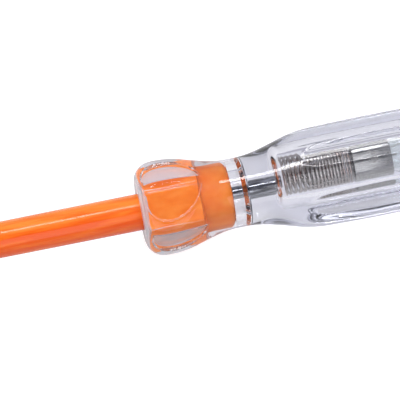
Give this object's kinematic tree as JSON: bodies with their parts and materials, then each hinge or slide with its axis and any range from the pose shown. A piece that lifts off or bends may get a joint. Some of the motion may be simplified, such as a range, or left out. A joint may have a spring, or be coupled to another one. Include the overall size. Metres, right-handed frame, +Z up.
{
  "type": "voltage tester",
  "caption": "Screwdriver-style mains voltage tester: sleeved flat blade, clear fluted handle with a hexagonal guard, neon lamp, resistor, contact springs and a screw-in touch cap.",
  "frame": {"origin": "on the surface that the tester lies on, under the middle of its box: midway between the blade's tip and the touch cap's end face", "axes": "+X along the handle from the blade's tip to the touch cap, +Y across, +Z up; the tester lies on two lands of the handle's body"},
  "size_m": [0.1404, 0.0152, 0.0147],
  "materials": {
    "clear_plastic": "clear moulded, polished",
    "orange_plastic": "satin extruded and moulded plastic",
    "blade_steel": "ground and plated steel",
    "spring_steel": "drawn spring wire",
    "plated_caps": "tin-plated drawn steel",
    "electrode_wire": "nickel wire",
    "lamp_glass": "clear soft glass",
    "resistor_ceramic": "lacquered ceramic rod",
    "disc_brass": "stamped brass",
    "nickelled_brass": "nickel-plated turned brass"
  },
  "bodies": {
    "handle_body": {"handle": "clear_plastic", "blade": "blade_steel", "insulating_sleeve": "orange_plastic", "nose_bush": "orange_plastic", "front_contact_spring": "spring_steel"},
    "lamp_stack": {"lamp_front_cap": "plated_caps", "lamp_glass": "lamp_glass", "lamp_front_electrode": "electrode_wire", "lamp_rear_electrode": "electrode_wire", "lamp_rear_cap": "plated_caps", "resistor_front_cap": "plated_caps", "resistor_body": "resistor_ceramic", "resistor_rear_cap": "plated_caps", "rear_contact_spring": "spring_steel"},
    "plunger": {"contact_disc": "disc_brass"},
    "cap": {"touch_cap": "nickelled_brass"}
  },
  "joints": [
    {"name": "stack_travel", "type": "slide", "parent": "handle_body", "child": "lamp_stack", "axis": [1, 0, 0], "range_m": [0, 0.0025], "deforming": ["front_contact_spring"]},
    {"name": "disc_travel", "type": "slide", "parent": "lamp_stack", "child": "plunger", "axis": [1, 0, 0], "range_m": [0, 0.00251], "deforming": ["rear_contact_spring"]},
    {"name": "cap_turn", "type": "hinge", "parent": "plunger", "child": "cap", "pos_m": [0.062, 0, 0.00734], "axis": [1, 0, 0], "range_deg": [0, 1800]}
  ],
  "couplings": [
    {"joint": "disc_travel", "follows": "stack_travel", "ratio": 1},
    {"joint": "cap_turn", "follows": "stack_travel", "rad_per_m": 12566}
  ]
}
